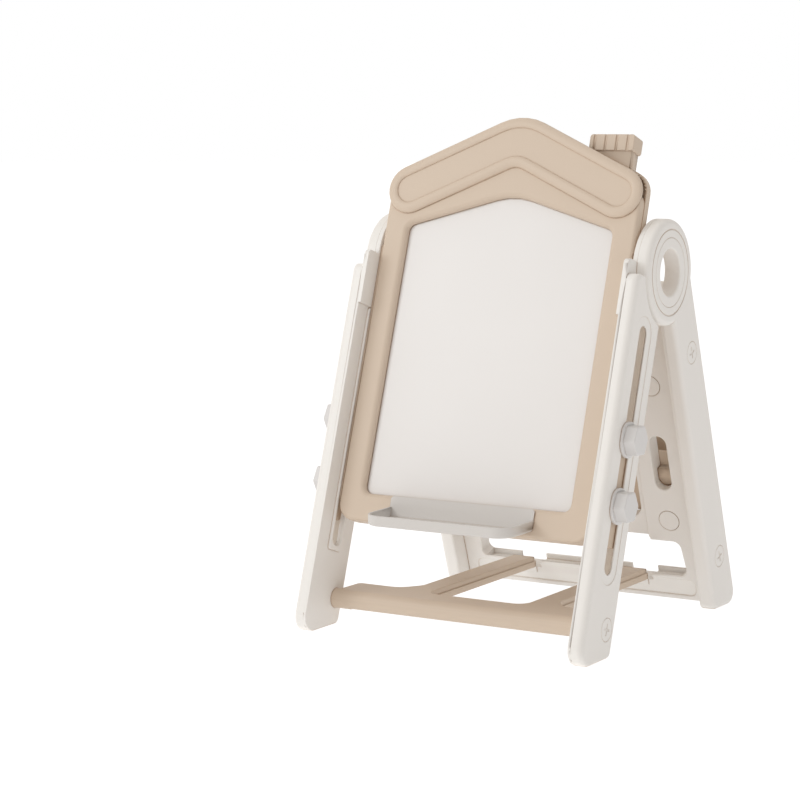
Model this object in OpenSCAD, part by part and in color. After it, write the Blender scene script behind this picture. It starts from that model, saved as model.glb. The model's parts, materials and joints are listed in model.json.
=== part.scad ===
// Children's standing easel: a house-shaped drawing board that slides between two A-shaped leg pairs.
// Millimetres, +Z up, front towards -Y. The origin is on the floor under the middle of the footprint.

/* [Overall] */
// Width across the outer faces of the legs
easel_w = 520; // [500:2:560]
// Height of the hinge that joins the front and rear legs
hinge_z = 582; // [560:1:600]
// Backward lean of the front legs and of the board, in degrees
front_lean = 18.3; // [17:0.1:19]
// Forward lean of the rear legs, in degrees
rear_lean = 19.8; // [19:0.1:21]

/* [Legs] */
// Thickness of a front leg
leg_t = 24; // [24:1:26]
// Thickness of the moulded walls
wall_t = 3; // [2.5:0.1:3.5]
// Thickness of the large outer plates
plate_t = 4; // [3.5:0.1:4.5]
// Radius of the hub disc at the hinge
hub_r = 85; // [80:1:86]
// Radius of the hole through the hub
hub_hole_r = 37.7; // [34:0.1:40]

/* [Board] */
// Width of the board's frame
board_w = 457; // [450:1:458]
// Depth of the frame's front shell
frame_depth = 18; // [16:1:18]
// Depth of the rear shell
back_depth = 18; // [16:1:18]
// Half width of the writing surface that shows
face_half_w = 187; // [180:1:190]

/* [Roof] */
// Half of the roof band's width
band_half = 41; // [36:1:42]
// How far the roof band stands in front of the frame
band_depth = 7.5; // [5:0.5:8]

/* [Tray] */
// Width of the pen tray
tray_w = 261; // [220:1:270]
// Height of the tray's rim above the floor
tray_top_z = 203.5; // [200:0.5:206]
// Depth of the tray's side wall
tray_h = 17.5; // [14:0.5:18]

/* [Knobs] */
// Radius of a knob's flange
knob_flange_r = 28.7; // [26:0.1:28.8]
// Radius of a knob's six-sided grip across its corners
knob_grip_r = 26; // [22:0.5:26]
// How far a knob stands out of the leg
knob_out = 23; // [20:1:26]

/* [Hidden] */

white = "#f0eeea";
beige = "#d9c8b6";
pale_grey = "#cdcbca";
steel = "silver";
brass = "goldenrod";
round_fn = 96;

// The footprint reaches further forward than back, so everything moves back by this much.
y_shift = 12.4;

// Stations along X, on the right side.
outer_x = easel_w / 2;
inner_x = outer_x - leg_t;
hub_x = inner_x - 4;
eye_x = hub_x + 8;
run_gap = 0.3;
cap_r = 18.5;
cap_t = 3;

// Front leg outline, in the leaning frame: Y is across the leg, Z runs up along it from the hinge.
leg_front = -116;
leg_back = -14;
leg_top = -30;
neck_top = -7;
hub_clear_r = hub_r + 8;
slot_y = -65;
slot_half = 13.5;
slot_top = -104;
slot_bottom = -497;
guide_half = 13.5;
knob_zs = [-285, -389.4];
knob_turn = 17;
brace_y = -32.9;
brace_z = -579;
spigot_r = 11;

// Rear leg outline, in its own leaning frame.
rear_front = -9;
rear_back = 74.5;
panel_y = 26;
panel_t = 30;
panel_skin = 3;
recess_depth = 5;
recess_half = 137;
panel_top = -40;
opening_top = -511;
opening_centre_top = -504;
bar_top = -577;
bar_bottom = -623;
rear_cap_at = [[37, -157], [36, -535]];
panel_cap_at = [[180, -217], [180, -470]];
panel_cap_r = 18;

// Pivot bush.
bush_r = 48;
flange_r = 55.4;
run_fit = 0.05;
ring_r = 56;
ring_t = 2.5;

// Board, in the front leaning frame.
board_y = -84;
face_depth = 12;
frame_skin = 4;
face_y = board_y + face_depth;
back_y = board_y + frame_depth;
rear_y = back_y + back_depth;
board_bottom = -454.5;
face_bottom = -408;
face_shoulder = 45;
face_apex = 101;
band_end = [190, 105];
band_apex = 193;
rail_x = hub_x - 0.5;
slider_bottom = -454;
slider_top = -262;
slider_x = outer_x - 14;
stud_r = 4;

// Brace, in world directions about its pivot.
arm_in = 87;
arm_out = 130;
arm_len = 427;
arm_end_r = 12;
bar_r = 16.2;
brace_top = 15.4;
brace_low = -4;
ledge_z = 6.5;
deck_half = 229;
deck_back = 62;
deck_mid = 45;

// ---------- helpers ----------

function unit(v) = v / norm(v);
function wrap(a) = a > 180 ? a - 360 : (a <= -180 ? a + 360 : a);

// Points that round the corner b, between its neighbours a and c, with radius r.
function corner(a, b, c, r) =
    let (
        u = unit(a - b),
        v = unit(c - b),
        half = acos(u * v) / 2,
        centre = b + unit(u + v) * (r / sin(half)),
        start = b + u * (r / tan(half)) - centre,
        end = b + v * (r / tan(half)) - centre,
        from = atan2(start[1], start[0]),
        sweep = wrap(atan2(end[1], end[0]) - from),
        steps = max(3, ceil(abs(sweep) / 12))
    )
    [for (i = [0:steps]) centre + r * [cos(from + sweep * i / steps), sin(from + sweep * i / steps)]];

// A polygon's points with each corner rounded by its own radius.
function rounded(pts, radii) =
    let (n = len(pts))
    [for (i = [0:n - 1])
        each radii[i] > 0
            ? corner(pts[(i + n - 1) % n], pts[i], pts[(i + 1) % n], radii[i])
            : [pts[i]]];

// Height of the floor, measured along a leg, at the distance y across the leg.
function front_floor(y) = (-hinge_z + y * sin(front_lean)) / cos(front_lean);
function rear_floor(y) = (-hinge_z - y * sin(rear_lean)) / cos(rear_lean);

// Moves children from the front legs' leaning frame to the world.
module lean_front() {
    translate([0, y_shift, hinge_z])
        rotate([-front_lean, 0, 0])
            children();
}

// Moves children from the rear legs' leaning frame to the world.
module lean_rear() {
    translate([0, y_shift, hinge_z])
        rotate([rear_lean, 0, 0])
            children();
}

// Extrudes an outline drawn in Y and Z along X, from x0 to x1.
module across(x0, x1) {
    translate([x0, 0, 0])
        rotate([90, 0, 90])
            linear_extrude(x1 - x0)
                children();
}

// Extrudes an outline drawn in X and Z along Y, from y0 to y1.
module through(y0, y1) {
    translate([0, y1, 0])
        rotate([90, 0, 0])
            linear_extrude(y1 - y0)
                children();
}

// A round bar along X.
module rod(r, x0, x1, y, z) {
    translate([x0, y, z])
        rotate([0, 90, 0])
            cylinder(h = x1 - x0, r = r, $fn = round_fn);
}

// A slot with round ends: its centre line runs along Z from z0 + half to z1 - half.
module stadium(y, z0, z1, half) {
    for (z = [z0 + half, z1 - half])
        translate([y, z])
            circle(r = half, $fn = 64);
    translate([y - half, z0 + half])
        square([2 * half, z1 - z0 - 2 * half]);
}

// A flat screw cap with a cross recess, on the outer side of a plate that ends at x1.
module side_cap(r, x1, y, z) {
    difference() {
        rod(r, x1 - cap_t, x1, y, z);
        for (turn = [0, 90])
            translate([x1 - 1, y, z])
                rotate([turn, 0, 0])
                    translate([0, -r * 0.5, -1.5])
                        cube([2, r, 3]);
    }
}

// ---------- front legs ----------

module front_leg_outline(inset) {
    y0 = leg_front + inset;
    y1 = leg_back - inset;
    difference() {
        polygon(rounded(
            [[y0, leg_top - inset], [y0, front_floor(y0) + inset], [y1, front_floor(y1) + inset],
                [y1, leg_top - inset]],
            [14 - inset, 26 - inset, 11 - inset, 0]));
        circle(r = hub_clear_r + inset, $fn = round_fn);
    }
}

module front_leg_outer_right() {
    color(white)
        lean_front()
            difference() {
                across(inner_x + 5, outer_x)
                    front_leg_outline(0);
                across(inner_x, outer_x - plate_t)
                    front_leg_outline(wall_t);
                across(inner_x, outer_x + 1)
                    stadium(slot_y, slot_bottom, slot_top, slot_half);
                across(outer_x - 1, outer_x + 1)
                    stadium(slot_y, slot_bottom - 15.5, slot_top + 15.5, slot_half + 15.5);
                rod(cap_r, outer_x - cap_t, outer_x + 1, brace_y - 7, brace_z + 1);
            }
}

module front_leg_inner_right() {
    color(white)
        lean_front()
            difference() {
                union() {
                    across(inner_x, inner_x + 5)
                        front_leg_outline(0);
                    across(hub_x, eye_x - run_gap)
                        union() {
                            circle(r = hub_r, $fn = round_fn);
                            difference() {
                                polygon(rounded(
                                    [[leg_front, leg_top - 95], [leg_front, neck_top], [-70, neck_top],
                                        [0, -60], [leg_back, -100], [leg_back, leg_top - 95]],
                                    [0, 10, 0, 0, 0, 0]));
                                circle(r = hub_r - 5, $fn = round_fn);
                            }
                        }
                    rod(spigot_r + 4, inner_x + 4, inner_x + 14, brace_y, brace_z);
                }
                rod(bush_r + run_fit, hub_x - 1, eye_x + 1, 0, 0);
                rod(ring_r + 0.5, hub_x - 1, hub_x + ring_t + 0.7, 0, 0);
                rod(spigot_r + run_fit, inner_x - 1, inner_x + 20, brace_y, brace_z);
                across(inner_x - 1, inner_x + 6)
                    stadium(slot_y, slot_bottom, slot_top, guide_half);
                across(hub_x - 1, inner_x)
                    translate([leg_front - 1, leg_top - 110])
                        square([120, 42]);
            }
}

module guide_strip_right() {
    color(white)
        lean_front()
            difference() {
                across(hub_x, inner_x)
                    polygon(rounded([[-84, -100], [-84, slot_bottom - 8], [-46, slot_bottom - 8], [-46, -100]],
                        [4, 4, 4, 4]));
                across(hub_x - 1, inner_x + 1)
                    stadium(slot_y, slot_bottom, slot_top, guide_half);
            }
}

module front_leg_outer_left() { mirror([1, 0, 0]) front_leg_outer_right(); }
module front_leg_inner_left() { mirror([1, 0, 0]) front_leg_inner_right(); }
module guide_strip_left() { mirror([1, 0, 0]) guide_strip_right(); }

module brace_caps() {
    color(white)
        for (side = [0, 1])
            mirror([side, 0, 0])
                lean_front()
                    side_cap(cap_r, outer_x, brace_y - 7, brace_z + 1);
}

// ---------- rear legs ----------

module rear_leg_outline(inset) {
    y0 = rear_front + inset;
    y1 = rear_back - inset;
    polygon(rounded(
        [[y0, -30 - 2 * inset], [y0, rear_floor(y0) + inset], [y1, rear_floor(y1) + inset],
            [y1, -30 - 2 * inset]],
        [0, 14 - inset, 20 - inset, 0]));
}

module rear_leg_outer_right() {
    color(white)
        lean_rear()
            difference() {
                union() {
                    across(eye_x, outer_x)
                        circle(r = hub_r, $fn = round_fn);
                    difference() {
                        across(hub_x + plate_t, outer_x)
                            rear_leg_outline(0);
                        rod(hub_r + 1, hub_x, eye_x, 0, 0);
                    }
                }
                difference() {
                    across(hub_x, outer_x - plate_t)
                        rear_leg_outline(wall_t);
                    rod(hub_r + 5, hub_x - 1, outer_x, 0, 0);
                }
                rod(bush_r, eye_x - 1, outer_x + 1, 0, 0);
                rod(flange_r, outer_x - 3.5, outer_x + 1, 0, 0);
                difference() {
                    rod(69.4, outer_x - 1.4, outer_x + 1, 0, 0);
                    rod(67.6, outer_x - 2, outer_x + 2, 0, 0);
                }
                for (at = rear_cap_at)
                    rod(cap_r, outer_x - cap_t, outer_x + 1, at[0], at[1]);
            }
}

module rear_leg_inner_right() {
    color(white)
        lean_rear()
            difference() {
                across(hub_x, hub_x + plate_t)
                    rear_leg_outline(0);
                rod(hub_r + 1, hub_x - 1, eye_x, 0, 0);
            }
}

module rear_leg_outer_left() { mirror([1, 0, 0]) rear_leg_outer_right(); }
module rear_leg_inner_left() { mirror([1, 0, 0]) rear_leg_inner_right(); }

module rear_leg_caps() {
    color(white)
        for (side = [0, 1])
            mirror([side, 0, 0])
                lean_rear()
                    for (at = rear_cap_at)
                        side_cap(cap_r, outer_x, at[0], at[1]);
}

module pivot_bush_right() {
    color(white)
        lean_rear()
            difference() {
                union() {
                    rod(bush_r, hub_x + 0.2, outer_x, 0, 0);
                    rod(flange_r, outer_x - 3.5, outer_x, 0, 0);
                }
                rod(hub_hole_r, hub_x - 1, outer_x + 1, 0, 0);
            }
}

module pivot_ring_right() {
    color(white)
        lean_rear()
            difference() {
                rod(ring_r, hub_x + 0.2, hub_x + 0.2 + ring_t, 0, 0);
                rod(bush_r, hub_x - 1, inner_x, 0, 0);
            }
}

module pivot_bush_left() { mirror([1, 0, 0]) pivot_bush_right(); }
module pivot_ring_left() { mirror([1, 0, 0]) pivot_ring_right(); }

// Outline of the panel between the rear legs, with its windows, the opening and the lower bar.
module rear_panel_outline() {
    difference() {
        polygon(rounded([[-hub_x, panel_top], [-hub_x, bar_bottom], [hub_x, bar_bottom], [hub_x, panel_top]],
            [0, 10, 10, 0]));
        polygon(rounded(
            [[-200, bar_top], [200, bar_top], [193, opening_top], [140, opening_top],
                [137, opening_centre_top], [-137, opening_centre_top], [-140, opening_top],
                [-193, opening_top]],
            [12, 12, 14, 2, 2, 2, 2, 14]));
        polygon(rounded([[-128, -471], [128, -471], [128, -309], [-128, -309]], [22, 22, 22, 22]));
        for (side = [-1, 1])
            translate([side * 179, 0])
                stadium(0, -411, -311, 15);
    }
}

module rear_panel() {
    color(white)
        lean_rear()
            difference() {
                through(panel_y, panel_y + panel_t)
                    rear_panel_outline();
                // The middle of the panel is set back behind its side strips.
                through(panel_y - 1, panel_y + recess_depth)
                    polygon(rounded([[-recess_half, -530], [recess_half, -530], [recess_half, -190],
                        [-recess_half, -190]], [0, 0, 20, 20]));
                // Pockets behind the upper half and the side strips, and room for the front legs' hubs.
                for (side = [0, 1])
                    mirror([side, 0, 0]) {
                        rod(hub_r + 1, hub_x - run_gap, hub_x + 1, 0, 0);
                        through(panel_y + recess_depth + panel_skin, panel_y + panel_t + 1)
                            polygon([[2, -305], [150, -305], [150, -44], [2, -44]]);
                        through(panel_y + panel_skin, panel_y + panel_t + 1)
                            polygon([[154, -305], [hub_x - 4, -305], [hub_x - 4, -44], [154, -44]]);
                        through(panel_y + panel_skin, panel_y + panel_t + 1)
                            polygon([[141, -500], [160, -500], [160, -309], [141, -309]]);
                        through(panel_y + panel_skin, panel_y + panel_t + 1)
                            polygon([[204, -572], [hub_x - 4, -572], [hub_x - 4, -309], [198, -309],
                                [198, -508]]);
                        // Notch that a brace arm drops into.
                        through(panel_y - 1, panel_y + panel_t + 1)
                            polygon([[84, bar_top - 14], [133, bar_top - 14], [133, bar_top + 1],
                                [84, bar_top + 1]]);
                        // Hole for the press-in cap.
                        for (at = panel_cap_at)
                            translate([at[0], panel_y - 1, at[1]])
                                rotate([-90, 0, 0])
                                    cylinder(h = 3, r = panel_cap_r, $fn = round_fn);
                    }
                // Shallow channel along the front of the lower bar.
                through(panel_y - 1, panel_y + 2.5)
                    polygon(rounded([[-212, bar_bottom + 8], [212, bar_bottom + 8], [212, bar_top - 7],
                        [-212, bar_top - 7]], [12, 12, 12, 12]));
                // Trough behind the bar's top lip.
                through(panel_y + 4, panel_y + panel_t - 4)
                    polygon([[-190, bar_top - 9], [190, bar_top - 9], [190, bar_top + 1],
                        [-190, bar_top + 1]]);
            }
    // Catch that a brace hook drops over, standing inside each notch.
    color(white)
        lean_rear()
            for (side = [0, 1])
                mirror([side, 0, 0]) {
                    through(panel_y, panel_y + 2.5)
                        polygon([[94, bar_top - 15], [123, bar_top - 15], [123, bar_top], [94, bar_top]]);
                    through(panel_y, panel_y + 4)
                        polygon([[94, bar_top - 24], [123, bar_top - 24], [123, bar_top - 14.4],
                            [94, bar_top - 14.4]]);
                }
}

module panel_caps() {
    color(white)
        lean_rear()
            for (side = [0, 1])
                mirror([side, 0, 0])
                    for (at = panel_cap_at)
                        translate([at[0], panel_y, at[1]])
                            rotate([-90, 0, 0])
                                cylinder(h = 2, r = panel_cap_r, $fn = round_fn);
}

module storage_bin() {
    bin_y = panel_y + panel_t + 0.3;
    color(beige)
        lean_rear() {
            difference() {
                through(bin_y, bin_y + 52)
                    polygon(rounded([[-192, -470], [192, -470], [198, -353], [-198, -353]], [16, 16, 0, 0]));
                through(bin_y + wall_t, bin_y + 52 - wall_t)
                    polygon(rounded([[-189, -467], [189, -467], [195.2, -352], [-195.2, -352]],
                        [13, 13, 0, 0]));
            }
            // Tongues that sit in the panel's two slots.
            for (x = [-179, 179])
                translate([x, 0, 0])
                    through(bin_y - 14, bin_y + 1)
                        intersection() {
                            stadium(0, -410.7, -311.3, 14.7);
                            translate([-15, -411])
                                square([30, 31]);
                        }
        }
}

// ---------- board ----------

function gable(half_w, bottom, shoulder, apex) =
    [[-half_w, bottom], [half_w, bottom], [half_w, shoulder], [0, apex], [-half_w, shoulder]];

module face_outline(grow) {
    polygon(rounded(gable(face_half_w + grow, face_bottom - grow, face_shoulder + grow, face_apex + grow),
        [13, 13, 15, 110, 15]));
}

module board_screw_points() {
    for (x = [-208, 208])
        for (z = [-380, -190, 0])
            translate([x, 0, z])
                children();
}

module board_frame() {
    color(beige)
        lean_front()
            difference() {
                through(board_y, back_y)
                    polygon(rounded(gable(board_w / 2, board_bottom, 103, 209), [28, 28, 20, 90, 20]));
                through(board_y - 1, back_y + 1)
                    face_outline(0);
                through(face_y, back_y + 1)
                    face_outline(6.2);
                // Pocket behind the bezel, with a boss round each screw.
                difference() {
                    through(board_y + frame_skin, back_y + 1)
                        difference() {
                            polygon(rounded(gable(board_w / 2 - wall_t, board_bottom + wall_t, 101, 205.7),
                                [25, 25, 17, 87, 17]));
                            face_outline(6.2 + wall_t);
                        }
                    board_screw_points()
                        rotate([90, 0, 0])
                            translate([0, 0, -back_y - 1])
                                cylinder(h = frame_depth + 2, r = 6, $fn = 32);
                }
                board_screw_points()
                    rotate([90, 0, 0])
                        translate([0, 0, -rear_y - 1])
                            cylinder(h = 30, r = 2.0, $fn = 32);
            }
}

module whiteboard() {
    color(white)
        lean_front()
            through(face_y, face_y + 3)
                face_outline(6);
}

module board_back() {
    side_t = 3;
    color(beige)
        lean_front()
            difference() {
                union() {
                    through(back_y, rear_y)
                        polygon(rounded(gable(board_w / 2 + 1, board_bottom, 135.7, 233), [28, 28, 35, 95, 35]));
                    // Rails that run beside the guide strips.
                    for (side = [0, 1])
                        mirror([side, 0, 0])
                            through(board_y + 4, rear_y - 4)
                                polygon(rounded([[board_w / 2, -424], [rail_x, -424], [rail_x, 8],
                                    [board_w / 2, 8]], [0, 2, 2, 0]));
                }
                difference() {
                    through(back_y - 1, rear_y - side_t)
                        polygon(rounded(gable(board_w / 2 - 3, board_bottom + 4, 132, 226),
                            [24, 24, 31, 95, 31]));
                    board_screw_points()
                        rotate([90, 0, 0])
                            translate([0, 0, -rear_y - 1])
                                cylinder(h = 30, r = 6, $fn = 32);
                }
                board_screw_points()
                    rotate([90, 0, 0])
                        translate([0, 0, -rear_y - 1])
                            cylinder(h = 30, r = 2.2, $fn = 32);
                board_screw_points()
                    rotate([90, 0, 0])
                        translate([0, 0, -rear_y - 1])
                            cylinder(h = 4, r = 4.6, $fn = 32);
            }
}

module board_screws() {
    color(steel)
        lean_front()
            board_screw_points()
                rotate([90, 0, 0]) {
                    translate([0, 0, -rear_y + 0.5])
                        difference() {
                            cylinder(h = 2.5, r = 4.4, $fn = 32);
                            translate([0, 0, -1])
                                cylinder(h = 2, r = 1.6, $fn = 6);
                        }
                    translate([0, 0, -rear_y + 3])
                        cylinder(h = 24, r = 1.95, $fn = 32);
                }
}

// Outline of the roof band: a chevron with round ends.
module chevron(half) {
    along = unit([band_end[0], band_end[1] - band_apex]);
    across_band = [-along[1], along[0]];
    rise = half / across_band[1];
    out = band_end + half * along + half * across_band;
    low = band_end + half * along - half * across_band;
    polygon(rounded(
        [[0, band_apex + rise], out, low, [0, band_apex - rise], [-low[0], low[1]], [-out[0], out[1]]],
        [54 + half, half - 0.5, half - 0.5, max(6, 71 - half), half - 0.5, half - 0.5]));
}

module roof_trim() {
    color(beige)
        lean_front()
            difference() {
                through(board_y - band_depth, board_y)
                    chevron(band_half);
                through(board_y - band_depth - 1, board_y - band_depth + 3.5)
                    chevron(band_half - 17.5);
            }
}

module chimney() {
    cap_x0 = 115;
    cap_x1 = 194;
    cap_z = 181;
    color(beige)
        lean_front()
            difference() {
                union() {
                    through(-66, -33)
                        polygon(rounded([[cap_x0, cap_z], [cap_x1, cap_z], [cap_x1, cap_z + 27],
                            [cap_x0, cap_z + 27]], [4, 4, 5, 5]));
                    through(-62, -36)
                        polygon([[124, 60], [190, 60], [190, cap_z + 1], [124, cap_z + 1]]);
                }
                // The rear shell of the board.
                through(back_y - 20, rear_y)
                    polygon(rounded(gable(board_w / 2 + 1, board_bottom, 135.7, 233), [28, 28, 35, 95, 35]));
                // Grooves across the cap's front.
                for (i = [0:3])
                    translate([cap_x0 + 7 + i * 19.5, -67, cap_z - 1])
                        cube([4, 3, 29]);
            }
}

module tray() {
    y0 = -305 + y_shift;
    half = tray_w / 2;
    color(white)
        difference() {
            union() {
                translate([0, 0, tray_top_z - tray_h])
                    linear_extrude(tray_h)
                        polygon(rounded([[-half, y0], [half, y0], [half, y0 + 130], [-half, y0 + 130]],
                            [30, 30, 0, 0]));
                // Plate on the front of the frame.
                lean_front()
                    through(board_y - 3, board_y - 0.1)
                        polygon(rounded([[-130, -440], [130, -440], [130, -409.5], [-130, -409.5]],
                            [0, 0, 5, 5]));
            }
            difference() {
                translate([0, 0, tray_top_z - tray_h + wall_t])
                    linear_extrude(tray_h)
                        polygon(rounded(
                            [[-half + 4, y0 + 4], [half - 4, y0 + 4], [half - 4, y0 + 130], [-half + 4, y0 + 130]],
                            [26, 26, 0, 0]));
                lean_front()
                    translate([-200, board_y - 3, -600])
                        cube([400, 200, 400]);
            }
            lean_front()
                translate([-200, board_y - 0.1, -600])
                    cube([400, 200, 400]);
        }
}

// ---------- sliders and knobs ----------

module slider_right() {
    color(beige)
        lean_front()
            difference() {
                union() {
                    across(slider_x, slider_x + 8.5)
                        polygon(rounded([[-88, slider_top], [-88, slider_bottom], [-42, slider_bottom],
                            [-42, slider_top]], [10, 10, 10, 10]));
                    for (z = knob_zs)
                        rod(guide_half - 0.5, rail_x, slider_x + 1, slot_y, z);
                }
                for (z = knob_zs) {
                    rod(stud_r + 0.5, rail_x + 2, slider_x + 1, slot_y, z);
                    rod(6, slider_x, slider_x + 10, slot_y, z);
                }
            }
}

module slider_left() { mirror([1, 0, 0]) slider_right(); }

module slider_inserts() {
    color(brass)
        for (side = [0, 1])
            mirror([side, 0, 0])
                lean_front()
                    for (z = knob_zs)
                        difference() {
                            rod(6, slider_x, slider_x + 8.5, slot_y, z);
                            rod(stud_r + run_fit, slider_x - 1, slider_x + 10, slot_y, z);
                        }
}

module knob(z) {
    color(pale_grey)
        lean_front()
            difference() {
                union() {
                    rod(knob_flange_r, outer_x - 1 + run_gap, outer_x + 3.5, slot_y, z);
                    across(outer_x + 3, outer_x + knob_out)
                        translate([slot_y, z])
                            polygon(rounded(
                                [for (i = [0:5]) knob_grip_r * [cos(60 * i + knob_turn), sin(60 * i + knob_turn)]],
                                [for (i = [0:5]) 5]));
                }
                rod(stud_r, outer_x - 2, outer_x + 12, slot_y, z);
            }
}

module stud(z) {
    color(steel)
        lean_front()
            rod(stud_r, slider_x - 8, outer_x + 12, slot_y, z);
}

module knob_upper_right() { knob(knob_zs[0]); }
module knob_lower_right() { knob(knob_zs[1]); }
module knob_upper_left() { mirror([1, 0, 0]) knob(knob_zs[0]); }
module knob_lower_left() { mirror([1, 0, 0]) knob(knob_zs[1]); }
module stud_upper_right() { stud(knob_zs[0]); }
module stud_lower_right() { stud(knob_zs[1]); }
module stud_upper_left() { mirror([1, 0, 0]) stud(knob_zs[0]); }
module stud_lower_left() { mirror([1, 0, 0]) stud(knob_zs[1]); }

// ---------- brace ----------

// Plan of the brace's deck, seen from above, in X and Y from the pivot, with its arms' sides set in by inset.
module brace_plan(inset) {
    out = arm_out - inset;
    in = arm_in + inset;
    end = arm_len - inset / 2;
    polygon(rounded(
        [[-deck_half, 0], [deck_half, 0], [deck_half, deck_back], [out + 24, deck_back], [out, 96], [out, end],
            [in, end], [in, deck_mid], [-in, deck_mid], [-in, end], [-out, end],
            [-out, 96], [-out - 24, deck_back], [-deck_half, deck_back]],
        [0, 0, 8, 30, 30, 4, 4, 22, 22, 4, 4, 30, 30, 8]));
}

module brace() {
    pivot_y = brace_y * cos(front_lean) + brace_z * sin(front_lean) + y_shift;
    pivot_z = hinge_z - brace_y * sin(front_lean) + brace_z * cos(front_lean);
    color(beige)
        translate([0, pivot_y, pivot_z]) {
            difference() {
                union() {
                    rod(bar_r, -inner_x + run_gap, inner_x - run_gap, 0, 0);
                    translate([0, 0, brace_low])
                        linear_extrude(ledge_z - brace_low)
                            brace_plan(0);
                    translate([0, 0, ledge_z - 1])
                        linear_extrude(brace_top - ledge_z + 1)
                            brace_plan(2.4);
                }
                // The bar and the deck are hollow from below.
                translate([-205, -9, -bar_r - 1])
                    cube([410, 18, bar_r + 8]);
                translate([-81, 20, brace_low - 1])
                    cube([162, deck_mid - 24, brace_top - brace_low - 3]);
                for (side = [0, 1])
                    mirror([side, 0, 0]) {
                        // The arms are hollow from below.
                        translate([arm_in + 5.5, 60, brace_low - 1])
                            cube([arm_out - arm_in - 11, arm_len - 73, brace_top - brace_low - 3]);
                        translate([arm_in + 5.5, arm_len - 14, brace_low - 1])
                            cube([arm_out - arm_in - 11, 11, 7]);
                        // Gap in the arm's cheeks in front of the hook's tip.
                        translate([arm_in - 1, arm_len - 7.5, brace_low - 1])
                            cube([arm_out - arm_in + 2, 4.5, 9]);
                        // The end of the arm turns down.
                        difference() {
                            translate([arm_in - 1, arm_len - arm_end_r, brace_top - arm_end_r])
                                cube([arm_out - arm_in + 2, arm_end_r + 1, arm_end_r + 1]);
                            rod(arm_end_r, arm_in - 2, arm_out + 2, arm_len - arm_end_r, brace_top - arm_end_r);
                        }
                    }
            }
            for (x = [-inner_x - 13, inner_x - 20])
                rod(spigot_r, x, x + 33, 0, 0);
        }
}

front_leg_outer_left();
front_leg_outer_right();
front_leg_inner_left();
front_leg_inner_right();
guide_strip_left();
guide_strip_right();
brace_caps();
rear_leg_outer_left();
rear_leg_outer_right();
rear_leg_inner_left();
rear_leg_inner_right();
rear_panel();
pivot_bush_left();
pivot_bush_right();
pivot_ring_left();
pivot_ring_right();
rear_leg_caps();
panel_caps();
storage_bin();
board_frame();
whiteboard();
board_back();
roof_trim();
chimney();
tray();
slider_left();
slider_right();
slider_inserts();
board_screws();
knob_upper_left();
knob_upper_right();
knob_lower_left();
knob_lower_right();
stud_upper_left();
stud_upper_right();
stud_lower_left();
stud_lower_right();
brace();
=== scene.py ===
"""Looks of the kids easel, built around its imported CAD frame.

Every piece starts from a CAD node's own solid, so it sits where the CAD says, and gets the rounded edges,
fillets and finishes of moulded plastic. Local coordinates are millimetres in a leg pair's leaning frame:
X to the right, Y across the leg, Z up along it from the hinge.
"""
import json
import math

import bmesh
import bpy
from mathutils import Matrix, Vector, geometry


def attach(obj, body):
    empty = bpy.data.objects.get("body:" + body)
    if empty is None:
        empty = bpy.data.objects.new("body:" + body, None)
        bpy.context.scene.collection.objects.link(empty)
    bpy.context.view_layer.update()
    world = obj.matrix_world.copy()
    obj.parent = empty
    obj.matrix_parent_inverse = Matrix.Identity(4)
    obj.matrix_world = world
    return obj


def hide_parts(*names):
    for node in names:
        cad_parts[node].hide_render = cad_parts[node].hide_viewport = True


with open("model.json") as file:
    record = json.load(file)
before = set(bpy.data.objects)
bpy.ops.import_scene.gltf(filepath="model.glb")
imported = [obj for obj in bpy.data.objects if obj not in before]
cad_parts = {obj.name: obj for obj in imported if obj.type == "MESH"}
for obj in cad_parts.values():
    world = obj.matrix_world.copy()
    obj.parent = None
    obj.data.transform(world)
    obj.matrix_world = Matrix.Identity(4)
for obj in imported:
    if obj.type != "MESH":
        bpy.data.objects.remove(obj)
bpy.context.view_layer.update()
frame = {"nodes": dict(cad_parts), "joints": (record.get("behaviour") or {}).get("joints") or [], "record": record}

MM = 0.001
X, Y, Z = 0, 1, 2
JOINTS = {joint["name"]: joint for joint in frame["joints"]}
HINGE = Vector(JOINTS["fold"]["pos_m"])
FRONT_LEAN = math.asin(JOINTS["board_slide"]["axis"][1])
REAR_LEAN = math.radians(19.8)
BRACE_LEVEL = JOINTS["brace_lift"]["pos_m"][2] / MM
SMOOTH_ANGLE = math.radians(32)
LEVEL_TOLERANCE = 0.04

# Leaning frames of the two leg pairs, and the upright frame on the floor.
SPACES = {
    "front": Matrix.Translation(HINGE) @ Matrix.Rotation(-FRONT_LEAN, 4, "X"),
    "rear": Matrix.Translation(HINGE) @ Matrix.Rotation(REAR_LEAN, 4, "X"),
    "world": Matrix.Identity(4),
}

# Levels along X, on the right side, of the faces whose rims are rounded.
LEG_OUTER = 260
SLOT_RECESS = 259
LEG_INNER = 236
HUB_INNER = 232
BUSH_INNER = HUB_INNER + 0.2
SLIDER_FACE = 254.5
KNOB_FACE = 283
KNOB_FLANGE = 263.5

# Levels in the rear legs' frame, along Y, and along Z for the bin's mouth.
PANEL_FRONT = 26
PANEL_RECESS = 31
PANEL_BACK = 56
BIN_BACK = 108.3
BIN_MOUTH = -353

# Levels along Y in the front legs' frame.
BOARD_FRONT = -84
BOARD_BACK = -48
ROOF_FRONT = -91.5
CHIMNEY_FRONT = -66
CHIMNEY_BACK = -33

# Levels above the floor, and the place along Y where the tray's walls meet the board.
TRAY_TOP = 203.5
TRAY_BOTTOM = 186
TRAY_WALL_END = -212
BRACE_TOP = BRACE_LEVEL + 15.4
BRACE_LEDGE = BRACE_LEVEL + 6.5

# Forward edge of a front leg, the middle of its slot, and the reach of the recess round the slot.
LEG_FORWARD = -110
SLOT_Y = -65
RECESS_REACH = 30
RECESS_BOTTOM = -514
RECESS_TOP = -86

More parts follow.
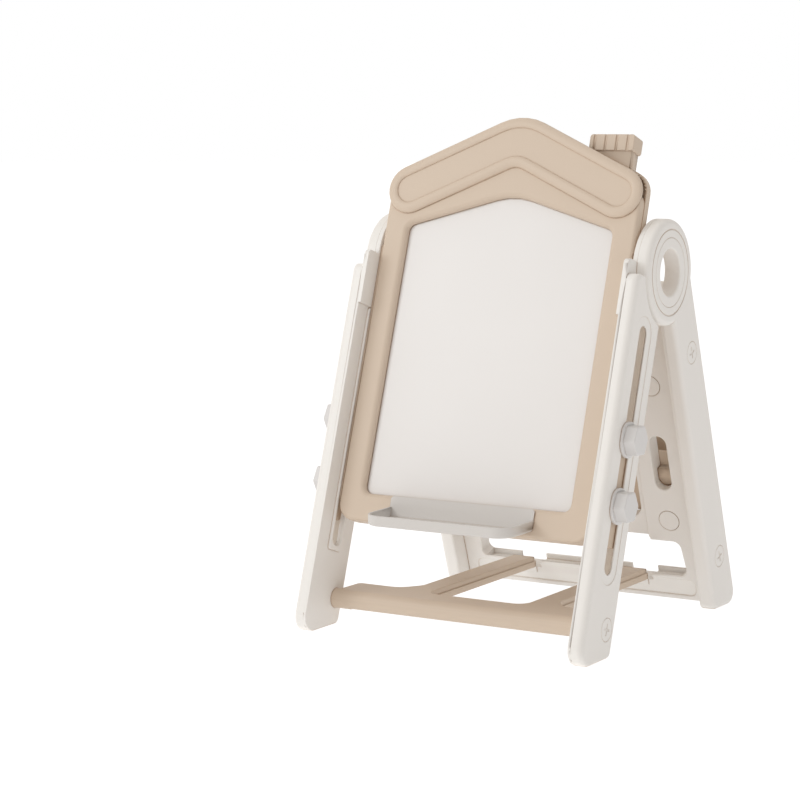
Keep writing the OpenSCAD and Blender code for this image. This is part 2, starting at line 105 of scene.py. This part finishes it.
# Distances from the hinge's axis that part one round edge from the next.
BORE_REACH = 45
EYE_REACH = 60
GROOVE_REACH = 70
HUB_REACH = 90
HUB_CLEARANCE = 93.5

# Middles of the legs' press-in caps, and the distances from them that hold a cap's cross and its outline.
CAP_CENTRES = ((-39.9, -578), (37, -157), (36, -535))
CROSS_REACH = 15
CAP_REACH = 19

# Where the rear panel's outline starts, and the zone of its notches for the brace's arms.
PANEL_SIDE = 225
PANEL_TOP = -45
PANEL_BOTTOM = -620
NOTCH_INNER = 75
NOTCH_OUTER = 145
NOTCH_TOP = -572

# The zone of the bezel round the writing surface, and the place where the rails of the board's back start.
BEZEL_SIDE = 200
BEZEL_TOP = 108
BEZEL_BOTTOM = -415
RAIL_SIDE = 229.6

# Middle line of the roof band: its end on the right, and its apex. The band's edge lies beyond BAND_MIDDLE
# from that line, and its recess within.
BAND_END_X = 190
BAND_END_Z = 105
BAND_APEX = 193
BAND_MIDDLE = 32


# ---------- materials ----------

# Painted shade: the colour darkens by the tint below where other surfaces lie within the size below, in creases
# and joints.
PAINTED_CREASE_SHADE_SIZE = 0.0025
PAINTED_CREASE_SHADE_TINT = (0.6, 0.46, 0.34)
# Painted light: hollows, where other surfaces lie within the size below, glow in the tint below.
PAINTED_HOLLOW_LIGHT_SIZE = 0.05
PAINTED_HOLLOW_LIGHT_TINT = (1.0, 0.87, 0.75)


def node_of(tree, kind, x, y, **values):
    """A new shader node with its inputs set by name."""
    node = tree.nodes.new(kind)
    node.location = (x, y)
    for name, value in values.items():
        node.inputs[name].default_value = value
    return node


def mapped(tree, x, y, value, source, target):
    """The value carried from one range, as (start, end), to another."""
    node = node_of(tree, "ShaderNodeMapRange", x, y)
    for name, number in zip(("From Min", "From Max", "To Min", "To Max"), (*source, *target)):
        node.inputs[name].default_value = number
    tree.links.new(value, node.inputs["Value"])
    return node.outputs["Result"]


def mixed(tree, x, y, share, first, second):
    """A mix of two colours by a share from 0 to 1. Each colour is fixed or another node's output."""
    node = node_of(tree, "ShaderNodeMix", x, y)
    node.data_type = "RGBA"
    for index, source in ((6, first), (7, second)):
        if isinstance(source, tuple):
            node.inputs[index].default_value = (*source, 1)
        else:
            tree.links.new(source, node.inputs[index])
    tree.links.new(share, node.inputs[0])
    return node.outputs[2]


def openness(tree, x, y, distance):
    """How free of other surfaces the space above a point is, within a distance, from 0 to 1."""
    node = node_of(tree, "ShaderNodeAmbientOcclusion", x, y, Distance=distance)
    node.samples = 4
    return node.outputs["AO"]


def linear(r, g, b):
    """Display colour from 0 to 255 as linear light."""
    return tuple((c / 255 / 12.92) if c < 11 else ((c / 255 + 0.055) / 1.055) ** 2.4 for c in (r, g, b))


def tinted(colour, tint):
    """The colour times a factor for each of red, green and blue, and no brighter than white."""
    return tuple(min(1.0, part * factor) for part, factor in zip(colour, tint))


def plastic(name, colour, roughness, mottle=0.03, grain=900.0, bump=0.03, coat=0.0, specular=0.4, glow=0.0):
    """Moulded plastic: cloudy colour, a fine eroded grain, painted highlights that pale its edges, and warm
    painted shade in creases. The glow is painted light in hollows, for light through thin walls."""
    material = bpy.data.materials.new(name)
    material.use_nodes = True
    tree = material.node_tree
    tree.nodes.clear()
    link = tree.links.new
    out = node_of(tree, "ShaderNodeOutputMaterial", 900, 0)
    shader = node_of(tree, "ShaderNodeBsdfPrincipled", 600, 0)
    shader.inputs["Coat Weight"].default_value = coat
    shader.inputs["Coat Roughness"].default_value = 0.25
    shader.inputs["Specular IOR Level"].default_value = specular
    link(shader.outputs["BSDF"], out.inputs["Surface"])

    place = node_of(tree, "ShaderNodeTexCoord", -900, 0)
    clouds = node_of(tree, "ShaderNodeTexNoise", -650, 200, Scale=9.0, Detail=3.0, Roughness=0.5)
    fine = node_of(tree, "ShaderNodeTexNoise", -650, -100, Scale=grain, Detail=2.0, Roughness=0.6)
    link(place.outputs["Object"], clouds.inputs["Vector"])
    link(place.outputs["Object"], fine.inputs["Vector"])

    cloud = clouds.outputs["Fac"]
    base = mixed(tree, -200, 200, cloud, tinted(colour, [1 - mottle] * 3), tinted(colour, [1 + mottle] * 3))
    form = node_of(tree, "ShaderNodeNewGeometry", -650, 450)
    # Painted highlight: convex edges, found by their pointiness, are mixed towards a paler colour.
    edge = mapped(tree, -400, 450, form.outputs["Pointiness"], (0.53, 0.62), (0.0, 0.35))
    painted_edge_highlight = mixed(tree, 100, 200, edge, base, tinted(colour, [1.12] * 3))
    # Painted shade: where other surfaces close in, the colour darkens towards a warm brown.
    open_share = mapped(tree, -150, 750, openness(tree, -400, 750, PAINTED_CREASE_SHADE_SIZE), (0.3, 0.92), (0.0, 1.0))
    painted_crease_shade = mixed(tree, 350, 300, open_share, tinted(colour, PAINTED_CREASE_SHADE_TINT), painted_edge_highlight)
    link(painted_crease_shade, shader.inputs["Base Color"])

    shine = mapped(tree, 100, -100, cloud, (0.0, 1.0), (roughness - 0.05, roughness + 0.07))
    link(shine, shader.inputs["Roughness"])
    relief = node_of(tree, "ShaderNodeBump", 300, -300, Strength=bump, Distance=0.0004)
    link(fine.outputs["Fac"], relief.inputs["Height"])
    link(relief.outputs["Normal"], shader.inputs["Normal"])

    # Painted light: the more closed in a place is, the more it emits, so shaded hollows look lit.
    if glow:
        painted_hollow_light = mapped(tree, -150, -500, openness(tree, -400, -500, PAINTED_HOLLOW_LIGHT_SIZE), (0.35, 0.0), (0.0, glow))
        shader.inputs["Emission Color"].default_value = (*tinted(colour, PAINTED_HOLLOW_LIGHT_TINT), 1)
        link(painted_hollow_light, shader.inputs["Emission Strength"])
    return material


def metal(name, colour, roughness):
    """Turned or plated metal with a very fine grain."""
    material = plastic(name, colour, roughness, mottle=0.05, grain=2500.0, bump=0.08)
    shader = next(n for n in material.node_tree.nodes if n.type == "BSDF_PRINCIPLED")
    shader.inputs["Metallic"].default_value = 1.0
    return material


WHITE = plastic("white_plastic", linear(245, 242, 238), 0.42, mottle=0.012)
# The same white with painted light glowing in its hollows, for the front legs' shells.
WHITE_WITH_PAINTED_GLOW = plastic("white_plastic_with_painted_glow", linear(245, 242, 238), 0.42, mottle=0.012, glow=0.13)
BEIGE = plastic("beige_plastic", linear(217, 199, 180), 0.45, mottle=0.02)
BEIGE_MATT = plastic("beige_matt_plastic", linear(214, 195, 175), 0.55, mottle=0.025, bump=0.06)
FACE = plastic("writing_film", linear(232, 229, 227), 0.3, mottle=0.006, grain=300.0, bump=0.01,
               coat=0.15)
TRAY = plastic("tray_plastic", linear(217, 213, 209), 0.38, mottle=0.01)
GREY = plastic("grey_plastic", linear(226, 224, 223), 0.34, mottle=0.015, coat=0.1)
STEEL = metal("zinc_steel", (0.62, 0.62, 0.63), 0.35)
BRASS = metal("turned_brass", (0.78, 0.6, 0.28), 0.3)


# ---------- pieces ----------

def rim_loops(region):
    """The loops of edges round a group of faces, each a list of (vertex, edge), the faces on the left."""
    following = {}
    for face in region:
        for loop in face.loops:
            if all(other is face or other not in region for other in loop.edge.link_faces):
                following.setdefault(loop.vert, []).append((loop.link_loop_next.vert, loop.edge))
    loops = []
    while following:
        start = vertex = next(iter(following))
        chain = []
        while vertex in following:
            after, edge = following[vertex].pop()
            if not following[vertex]:
                del following[vertex]
            chain.append((vertex, edge))
            vertex = after
            if vertex is start:
                break
        loops.append(chain)
    return loops


def inside(point, rings):
    """True if the 2D point lies inside an odd number of the rings."""
    x, y = point
    odd = False
    for ring in rings:
        for (x0, y0), (x1, y1) in zip(ring, ring[1:] + ring[:1]):
            if (y0 > y) != (y1 > y) and x < x0 + (y - y0) * (x1 - x0) / (y1 - y0):
                odd = not odd
    return odd


def fill(bm, rings, axis, sign):
    """Triangles between rings of vertices in a plane across the axis."""
    u, v = ((1, 2), (2, 0), (0, 1))[axis]
    flat = [[(ring_vert.co[u] * sign, ring_vert.co[v]) for ring_vert in ring] for ring in rings]
    verts = [ring_vert for ring in rings for ring_vert in ring]
    points = [Vector(point) for ring in flat for point in ring]
    edges = []
    first = 0
    for ring in rings:
        edges += [(first + i, first + (i + 1) % len(ring)) for i in range(len(ring))]
        first += len(ring)
    spots, _, triangles, sources, _, _ = geometry.delaunay_2d_cdt(points, edges, [], 0, 1e-5)
    level = verts[0].co[axis]
    used = []
    for spot, source in zip(spots, sources):
        if source:
            used.append(verts[source[0]])
            continue
        place = Vector()
        place[u], place[v], place[axis] = spot.x * sign, spot.y, level
        used.append(bm.verts.new(place))
    for triangle in triangles:
        middle = sum((spots[i] for i in triangle), Vector((0, 0))) / 3
        if inside(middle, flat):
            bm.faces.new([used[i] for i in triangle])


def rim_spots(chain, region, axis, sign, radius):
    """For each vertex of a loop round the region: the vertex, its inward direction, and its rounding's inset
    and depth. The inset is 0 where a wall rises from the region's edge."""
    up = Vector()
    up[axis] = sign
    spots = []
    for i, (vertex, edge) in enumerate(chain):
        before = (vertex.co - chain[i - 1][0].co).normalized()
        after = (chain[(i + 1) % len(chain)][0].co - vertex.co).normalized()
        inward = up.cross(before) + up.cross(after)
        inward /= max(0.5, 1 + up.cross(before).dot(up.cross(after)))
        size = radius(vertex.co, -inward) if callable(radius) else radius
        inset, depth = size if isinstance(size, tuple) else (size, size)
        for side in (edge, chain[i - 1][1]):
            for face in side.link_faces:
                if face not in region and (face.calc_center_median() - vertex.co)[axis] * sign > 0.001:
                    inset = 0.0
        spots.append((vertex, inward, inset, depth))
    return spots


def rounding(bm, up, segments, vertex, inward, inset, depth):
    """The vertices of a quarter round at one spot of a rim, from the wall to the flat face."""
    if inset <= 0:
        return [vertex] * (segments + 1)
    place = vertex.co.copy()
    stack = [vertex]
    for step in range(1, segments + 1):
        angle = math.pi / 2 * step / segments
        stack.append(bm.verts.new(
            place - up * depth * (1 - math.sin(angle)) + inward * inset * (1 - math.cos(angle))))
    vertex.co = place - up * depth
    return stack


def round_rim(bm, axis, sign, at, radius, segments=5):
    """Rounds the rim of the flat faces that look along sign * axis at a level of `at` mm. radius is a size,
    or gets a place and its outward direction in the plane and gives a size, or an inset and a depth."""
    up = Vector()
    up[axis] = sign
    bm.normal_update()
    region = dict.fromkeys(face for face in bm.faces if face.normal[axis] * sign > 0.999
                           and abs(face.calc_center_median()[axis] - at) < LEVEL_TOLERANCE)
    loops = [rim_spots(chain, region, axis, sign, radius) for chain in rim_loops(region)]
    bmesh.ops.delete(bm, geom=list(region), context="FACES")
    rings = []
    for spots in loops:
        stacks = [rounding(bm, up, segments, *spot) for spot in spots]
        for low, high in zip(stacks, stacks[1:] + stacks[:1]):
            for step in range(segments):
                corners = []
                for corner in (low[step], high[step], high[step + 1], low[step + 1]):
                    if corner not in corners:
                        corners.append(corner)
                if len(corners) > 2:
                    bm.faces.new(corners)
        rings.append([stack[-1] for stack in stacks])
    fill(bm, rings, axis, sign)


def local_mesh(node, space):
    """The CAD node's mesh in the space's own millimetres."""
    bm = bmesh.new()
    bm.from_mesh(frame["nodes"][node].data)
    bmesh.ops.transform(bm, matrix=Matrix.Scale(1 / MM, 4) @ SPACES[space].inverted(), verts=bm.verts)
    bmesh.ops.remove_doubles(bm, verts=bm.verts, dist=0.01)
    return bm


def baked(obj):
    """Applies the object's modifiers to its mesh."""
    graph = bpy.context.evaluated_depsgraph_get()
    mesh = bpy.data.meshes.new_from_object(obj.evaluated_get(graph))
    obj.modifiers.clear()
    old = obj.data
    obj.data = mesh
    bpy.data.meshes.remove(old)


def body_of(node):
    """The CAD body that a node belongs to."""
    return next(b for b, members in frame["record"]["behaviour"]["bodies"].items() if node in members)


def finish_shading(obj, material):
    """Smooth shading that keeps real corners, with normals weighted towards the flat faces."""
    for polygon in obj.data.polygons:
        polygon.use_smooth = True
    obj.data.set_sharp_from_angle(angle=SMOOTH_ANGLE)
    weighted = obj.modifiers.new("weighted", "WEIGHTED_NORMAL")
    weighted.keep_sharp = True
    weighted.weight = 80
    baked(obj)
    obj.data.materials.clear()
    obj.data.materials.append(material)


def moulded(node, material, space="front", rims=()):
    """A piece with the CAD node's shape and rounded rims, which replaces that node. rims lists the arguments
    of round_rim: the axis, the direction along it, the level, the radius, and perhaps the segments. Any
    small gap that the rounding leaves is closed."""
    bm = local_mesh(node, space)
    for rim in rims:
        round_rim(bm, *rim)
    gaps = [edge for edge in bm.edges if len(edge.link_faces) == 1]
    bmesh.ops.holes_fill(bm, edges=gaps, sides=6)
    bmesh.ops.transform(bm, matrix=SPACES[space] @ Matrix.Scale(MM, 4), verts=bm.verts)
    mesh = bpy.data.meshes.new(node + "_piece")
    bm.to_mesh(mesh)
    bm.free()
    obj = bpy.data.objects.new(node + "_piece", mesh)
    bpy.context.scene.collection.objects.link(obj)
    finish_shading(obj, material)
    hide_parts(node)
    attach(obj, body_of(node))


def from_hinge(place):
    """Distance from the hinge's axis, in a leaning frame."""
    return math.hypot(place.y, place.z)


def near_slot(place):
    """True on the rim of the slot in a front leg, or of the shallow recess round it."""
    return abs(place.y - SLOT_Y) < RECESS_REACH and RECESS_BOTTOM < place.z < RECESS_TOP


def cap_distance(place):
    """Distance from the middle of the nearest of the legs' press-in caps."""
    return min(math.hypot(place.y - y, place.z - z) for y, z in CAP_CENTRES)


def cap_rim(place, out):
    """Rounded outline of a press-in cap, and the edges of the cross in its face."""
    return 1.4 if cap_distance(place) > CROSS_REACH else 0.7


def front_leg_rim(place, out):
    """Broad rounding along a front leg's forward edge, less behind, and fine edges round its openings."""
    if near_slot(place):
        return 0.9
    if cap_distance(place) < CAP_REACH:
        return 1.2
    if from_hinge(place) < HUB_CLEARANCE:
        return 1.5
    return 4.0 + 6.0 * max(0.0, -out.y)


def inner_shell_rim(place, out):
    """Fine edges on the inner shell, whose forward edge stays square against the outer shell."""
    if near_slot(place) or from_hinge(place) < EYE_REACH:
        return 0.6
    return 0.0 if place.y < LEG_FORWARD else 1.2


def rear_leg_rim(place, out):
    """Broad rounding along the leg and round the hub, fine edges at the hub's grooves and the caps."""
    if from_hinge(place) < GROOVE_REACH or cap_distance(place) < CAP_REACH:
        return 1.2
    return 5.0 + 4.0 * max(0.0, -out.y, 1.0 if from_hinge(place) < HUB_REACH else 0.0)


def rear_plate_rim(place, out):
    """Rounding of the plate that closes a rear leg, broader along its forward edge."""
    return 2.0 + 1.8 * max(0.0, -out.y)


def bush_rim(place, out):
    """Soft mouth of the pivot bush's bore, and the fine outline of its flange."""
    return 3.0 if from_hinge(place) < BORE_REACH else 1.5


def panel_rim(place, out):
    """Edges of the rear panel: soft round its openings, fine along its outline, and square by the notches
    that the brace's arms drop into."""
    x = abs(place.x)
    if NOTCH_INNER < x < NOTCH_OUTER and place.z < NOTCH_TOP:
        return 0.0
    return 2.5 if x <= PANEL_SIDE and PANEL_BOTTOM <= place.z <= PANEL_TOP else 1.0


def bezel_rim(place, out):
    """Edges of the board's front shell: broad round the writing surface, less along its outline."""
    return 8.5 if abs(place.x) < BEZEL_SIDE and BEZEL_BOTTOM < place.z < BEZEL_TOP else 5.0


def board_back_rim(place, out):
    """Edges of the board's rear shell: rounded along its outline, fine on the rails beyond its sides."""
    return 5.0 if abs(place.x) < RAIL_SIDE and out.length > 0.1 else 1.5


def roof_band_rim(place, out):
    """Outer edge of the roof band rolls over broadly, the edge of its recess less."""
    x = abs(place.x)
    if x > BAND_END_X:
        away = math.hypot(x - BAND_END_X, place.z - BAND_END_Z)
    else:
        drop = BAND_APEX - BAND_END_Z
        away = abs(drop * x + BAND_END_X * (place.z - BAND_APEX)) / math.hypot(drop, BAND_END_X)
    return (10.0, 6.0) if away > BAND_MIDDLE else (6.0, 3.0)


def tray_rim(place, out):
    """Rounded rim of the tray, up to where its walls meet the board."""
    return 0.0 if place.y > TRAY_WALL_END else 1.4


for side in ("left", "right"):
    out = 1 if side == "right" else -1
    moulded("front_leg_outer_" + side, WHITE_WITH_PAINTED_GLOW, rims=[
        (X, out, LEG_OUTER * out, front_leg_rim, 7), (X, out, SLOT_RECESS * out, 0.6, 3)])
    moulded("front_leg_inner_" + side, WHITE_WITH_PAINTED_GLOW, rims=[
        (X, -out, HUB_INNER * out, inner_shell_rim), (X, -out, LEG_INNER * out, inner_shell_rim)])
    moulded("guide_strip_" + side, WHITE, rims=[(X, -out, HUB_INNER * out, 1.5, 4)])
    moulded("rear_leg_outer_" + side, WHITE, space="rear", rims=[
        (X, out, LEG_OUTER * out, rear_leg_rim, 7)])
    moulded("rear_leg_inner_" + side, WHITE, space="rear", rims=[
        (X, -out, HUB_INNER * out, rear_plate_rim)])
    moulded("pivot_bush_" + side, WHITE, space="rear", rims=[
        (X, out, LEG_OUTER * out, bush_rim), (X, -out, BUSH_INNER * out, 1.0)])
    moulded("pivot_ring_" + side, WHITE, space="rear", rims=[
        (X, -out, BUSH_INNER * out, 0.6, 3)])
    moulded("slider_" + side, BEIGE_MATT, rims=[(X, out, SLIDER_FACE * out, 1.5)])
    for height in ("upper", "lower"):
        moulded("knob_" + height + "_" + side, GREY, rims=[
            (X, out, KNOB_FACE * out, (2.4, 1.8)), (X, out, KNOB_FLANGE * out, 1.2)])
        moulded("stud_" + height + "_" + side, STEEL)

moulded("rear_panel", WHITE, space="rear", rims=[
    (Y, -1, PANEL_FRONT, panel_rim), (Y, -1, PANEL_RECESS, panel_rim), (Y, 1, PANEL_BACK, 0.8, 3)])
both_sides = [(X, 1, LEG_OUTER, cap_rim, 4), (X, -1, -LEG_OUTER, cap_rim, 4)]
moulded("brace_caps", WHITE, rims=both_sides)
moulded("rear_leg_caps", WHITE, space="rear", rims=both_sides)
moulded("panel_caps", WHITE, space="rear", rims=[(Y, -1, PANEL_FRONT, 0.7, 3)])
moulded("storage_bin", BEIGE_MATT, space="rear", rims=[
    (Y, 1, BIN_BACK, 3.0), (Z, 1, BIN_MOUTH, 1.2, 3)])
moulded("board_frame", BEIGE, rims=[(Y, -1, BOARD_FRONT, bezel_rim, 7)])
moulded("whiteboard", FACE)
moulded("board_back", BEIGE, rims=[(Y, 1, BOARD_BACK, board_back_rim)])
moulded("roof_trim", BEIGE, rims=[(Y, -1, ROOF_FRONT, roof_band_rim, 7)])
moulded("chimney", BEIGE, rims=[(Y, -1, CHIMNEY_FRONT, 1.6), (Y, 1, CHIMNEY_BACK, 1.5)])
moulded("tray", TRAY, space="world", rims=[
    (Z, 1, TRAY_TOP, tray_rim), (Z, -1, TRAY_BOTTOM, 5.0)])
moulded("slider_inserts", BRASS)
moulded("board_screws", STEEL)
moulded("brace", BEIGE, space="world", rims=[
    (Z, 1, BRACE_TOP, 1.8), (Z, 1, BRACE_LEDGE, 1.0, 3)])


# ---------- stage, light and camera ----------

AMBIENT = 0.78
LIT_PLACE = (0, 0, 0.4)
CAMERA_PLACE = (1.8012, HINGE.y - 3.4168, 0.8264)
CAMERA_TILT = math.radians(6.86)
CAMERA_TURN = math.radians(30.86)


def stage_floor():
    """A wide white floor that runs into the background, with a faint shadow to the camera."""
    bpy.ops.mesh.primitive_circle_add(vertices=96, radius=40, fill_type="NGON")
    floor = bpy.context.object
    floor.name = "floor"
    material = bpy.data.materials.new("pale_floor")
    material.use_nodes = True
    tree = material.node_tree
    tree.nodes.clear()
    out = node_of(tree, "ShaderNodeOutputMaterial", 600, 0)
    ground = node_of(tree, "ShaderNodeBsdfDiffuse", 0, 100, Color=(0.92, 0.92, 0.92, 1))
    glow = node_of(tree, "ShaderNodeEmission", 0, -100, Color=(1, 1, 1, 1), Strength=1.3)
    path = node_of(tree, "ShaderNodeLightPath", -300, 400)
    share = mapped(tree, 0, 400, path.outputs["Is Camera Ray"], (0.0, 1.0), (0.42, 0.72))
    mix = node_of(tree, "ShaderNodeMixShader", 300, 0)
    tree.links.new(share, mix.inputs[0])
    tree.links.new(ground.outputs[0], mix.inputs[1])
    tree.links.new(glow.outputs[0], mix.inputs[2])
    tree.links.new(mix.outputs[0], out.inputs["Surface"])
    floor.data.materials.append(material)


def studio_world():
    """White surroundings: pure white to the camera, and softer as light, with a darker wall on the right."""
    world = bpy.data.worlds.new("studio")
    world.use_nodes = True
    tree = world.node_tree
    tree.nodes.clear()
    out = node_of(tree, "ShaderNodeOutputWorld", 600, 0)
    light = node_of(tree, "ShaderNodeBackground", 0, 100, Color=(1, 0.958, 0.915, 1))
    seen = node_of(tree, "ShaderNodeBackground", 0, -100, Color=(1, 1, 1, 1), Strength=1.0)
    direction = node_of(tree, "ShaderNodeTexCoord", -600, 100)
    across = node_of(tree, "ShaderNodeSeparateXYZ", -400, 100)
    tree.links.new(direction.outputs["Generated"], across.inputs["Vector"])
    wall = mapped(tree, -200, 100, across.outputs["X"], (-0.2, 1.0), (AMBIENT, 0.5 * AMBIENT))
    tree.links.new(wall, light.inputs["Strength"])
    path = node_of(tree, "ShaderNodeLightPath", 0, 400)
    mix = node_of(tree, "ShaderNodeMixShader", 300, 0)
    tree.links.new(path.outputs["Is Camera Ray"], mix.inputs[0])
    tree.links.new(light.outputs[0], mix.inputs[1])
    tree.links.new(seen.outputs[0], mix.inputs[2])
    tree.links.new(mix.outputs[0], out.inputs["Surface"])
    bpy.context.scene.world = world


def softbox(name, place, size, power, colour=(1, 1, 1)):
    """A large square area light that points at the easel's middle."""
    data = bpy.data.lights.new(name, "AREA")
    data.size = size
    data.energy = power
    data.color = colour
    lamp = bpy.data.objects.new(name, data)
    lamp.location = place
    lamp.rotation_euler = (Vector(LIT_PLACE) - Vector(place)).to_track_quat("-Z", "Y").to_euler()
    bpy.context.scene.collection.objects.link(lamp)


def photo_camera():
    """The camera, in front and to the right, level with the easel's top."""
    data = bpy.data.cameras.new("camera")
    data.sensor_width = 36
    data.lens = 105.7
    data.clip_end = 200
    camera = bpy.data.objects.new("camera", data)
    camera.location = CAMERA_PLACE
    camera.rotation_euler = (math.pi / 2 - CAMERA_TILT, 0, CAMERA_TURN)
    bpy.context.scene.collection.objects.link(camera)
    bpy.context.scene.camera = camera


stage_floor()
studio_world()
softbox("key", (-2.3, -2.9, 2.3), size=1.6, power=28.5, colour=(0.95, 0.985, 1))
softbox("front_right", (3.0, -1.4, 0.8), size=1.5, power=1.5)
softbox("top", (0, 0.2, 3.2), size=2.0, power=7)
photo_camera()
bpy.context.scene.view_settings.view_transform = "Standard"
